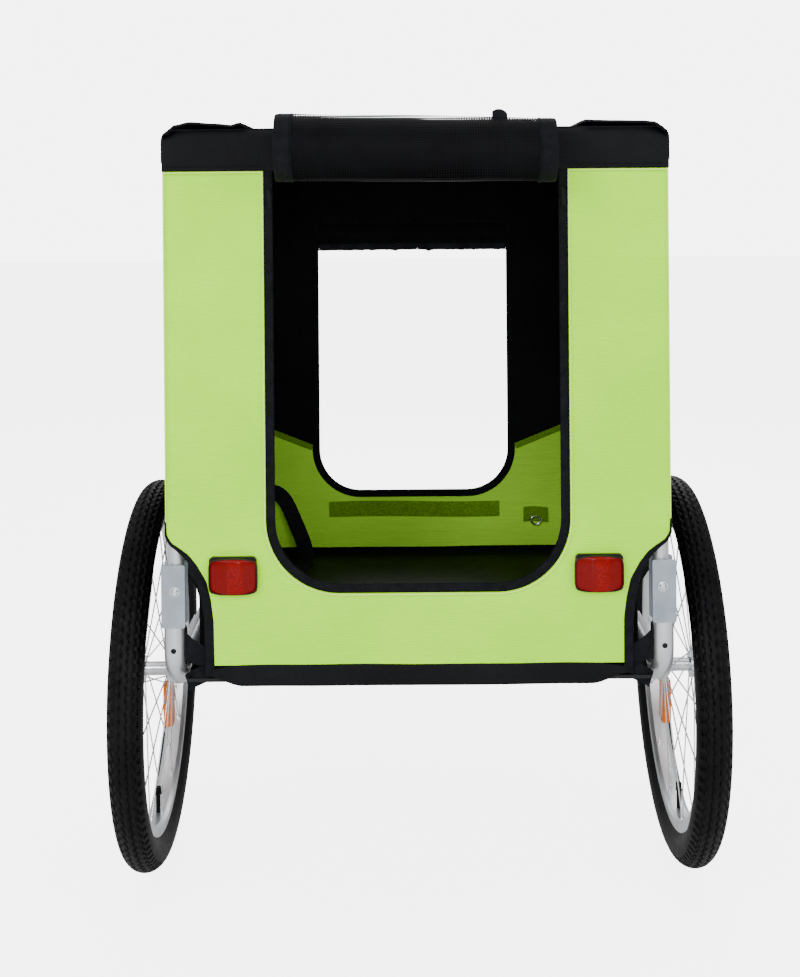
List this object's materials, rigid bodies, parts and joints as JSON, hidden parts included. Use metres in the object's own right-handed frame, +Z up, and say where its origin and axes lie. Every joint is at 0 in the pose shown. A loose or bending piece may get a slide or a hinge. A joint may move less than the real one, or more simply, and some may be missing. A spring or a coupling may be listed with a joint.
{
  "type": "bicycle trailer",
  "caption": "Folding two-wheeled bicycle trailer with a see-through fabric cabin, rolled-up rear door, side hoops that fold inwards and a swinging drawbar with hitch.",
  "frame": {"origin": "on the ground, midway between the hindmost and foremost points and between the wheels", "axes": "+Z up, +Y the way it travels, +X to the right of someone standing behind it"},
  "size_m": [0.7886, 1.1772, 0.9903],
  "materials": {
    "silver_paint": "satin silver powder coat",
    "grey_steel": "blue-grey painted steel",
    "zinc_steel": "bright zinc plating",
    "rim_alloy": "silver anodised",
    "tyre_rubber": "matt rubber with a ribbed tread",
    "black_rubber": "matt",
    "green_cloth": "coated polyester weave",
    "black_cloth": "coated polyester weave",
    "black_mesh": "open polyester mesh",
    "black_webbing": "ribbed webbing",
    "velcro_green": "loop tape",
    "floor_board": "matt",
    "black_plastic": "fine grained",
    "red_reflector": "prismatic, clear red",
    "orange_reflector": "prismatic, clear orange"
  },
  "bodies": {
    "root": {"axle_bracket_left": "silver_paint", "axle_bracket_right": "silver_paint", "axle_left": "zinc_steel", "axle_right": "zinc_steel", "cross_tube_front": "silver_paint", "cross_tube_rear": "silver_paint", "door_toggle": "black_plastic", "drawbar_bolt": "zinc_steel", "drawbar_bracket": "silver_paint", "floor_board": "floor_board", "floor_cover": "black_cloth", "fold_brackets_left": "grey_steel", "fold_brackets_right": "grey_steel", "frame_loops": "black_webbing", "front_door_roll": "black_mesh", "front_panel_lower": "green_cloth", "front_panel_upper": "black_cloth", "leash_ring": "zinc_steel", "leash_strap": "black_webbing", "pivot_bolts": "zinc_steel", "rear_binding": "black_cloth", "rear_door_roll": "black_mesh", "rear_header": "black_cloth", "rear_hem": "black_cloth", "rear_panel": "green_cloth", "reflector_bases": "black_plastic", "reflector_lenses": "red_reflector", "roof_flaps": "black_cloth", "roof_panel": "black_cloth", "side_skirt_left": "black_cloth", "side_skirt_right": "black_cloth", "side_tube_left": "silver_paint", "side_tube_right": "silver_paint", "velcro_strip": "velcro_green"},
    "left_side": {"side_hoop_left": "silver_paint", "side_panel_left": "black_mesh"},
    "right_side": {"side_hoop_right": "silver_paint", "side_panel_right": "black_mesh"},
    "left_wheel": {"tyre_left": "tyre_rubber", "rim_left": "rim_alloy", "hub_left": "zinc_steel", "spokes_left": "zinc_steel", "wheel_reflector_left": "orange_reflector", "valve_left": "black_rubber"},
    "right_wheel": {"tyre_right": "tyre_rubber", "rim_right": "rim_alloy", "hub_right": "zinc_steel", "spokes_right": "zinc_steel", "wheel_reflector_right": "orange_reflector", "valve_right": "black_rubber"},
    "left_release": {"release_button_left": "black_plastic"},
    "right_release": {"release_button_right": "black_plastic"},
    "drawbar": {"drawbar_tube": "silver_paint", "drawbar_end": "black_plastic", "hitch_yaw_pin": "zinc_steel"},
    "clamp_knob": {"drawbar_knob": "black_plastic"},
    "hitch_swivel": {"hitch_link": "zinc_steel", "hitch_pitch_pin": "zinc_steel"},
    "hitch_tongue": {"hitch_plate": "zinc_steel"}
  },
  "joints": [
    {"name": "left_fold", "type": "hinge", "parent": "root", "child": "left_side", "pos_m": [-0.287, -0.22685, 0.423], "axis": [0, 1, 0], "range_deg": [0, 92]},
    {"name": "right_fold", "type": "hinge", "parent": "root", "child": "right_side", "pos_m": [0.287, -0.22685, 0.425], "axis": [0, -1, 0], "range_deg": [0, 88]},
    {"name": "left_wheel_spin", "type": "hinge", "parent": "root", "child": "left_wheel", "pos_m": [-0.351, -0.25835, 0.25], "axis": [1, 0, 0], "continuous": true},
    {"name": "right_wheel_spin", "type": "hinge", "parent": "root", "child": "right_wheel", "pos_m": [0.351, -0.25835, 0.25], "axis": [1, 0, 0], "continuous": true},
    {"name": "left_release_press", "type": "slide", "parent": "root", "child": "left_release", "axis": [1, 0, 0], "range_m": [0, 0.003], "stiffness_N_per_m": 1500, "springref_m": -0.0005},
    {"name": "right_release_press", "type": "slide", "parent": "root", "child": "right_release", "axis": [-1, 0, 0], "range_m": [0, 0.003], "stiffness_N_per_m": 1500, "springref_m": -0.0005},
    {"name": "drawbar_fold", "type": "hinge", "parent": "root", "child": "drawbar", "pos_m": [-0.13, 0.08665, 0.298], "axis": [0, 0, -1], "range_deg": [0, 90]},
    {"name": "clamp_knob_turn", "type": "hinge", "parent": "root", "child": "clamp_knob", "pos_m": [-0.13, 0.08665, 0.275], "axis": [0, 0, 1], "continuous": true},
    {"name": "hitch_yaw", "type": "hinge", "parent": "drawbar", "child": "hitch_swivel", "pos_m": [-0.13, 0.49265, 0.292], "axis": [0, 0, 1], "range_deg": [-65, 65]},
    {"name": "hitch_pitch", "type": "hinge", "parent": "hitch_swivel", "child": "hitch_tongue", "pos_m": [-0.13, 0.53065, 0.292], "axis": [1, 0, 0], "range_deg": [-50, 50]}
  ]
}
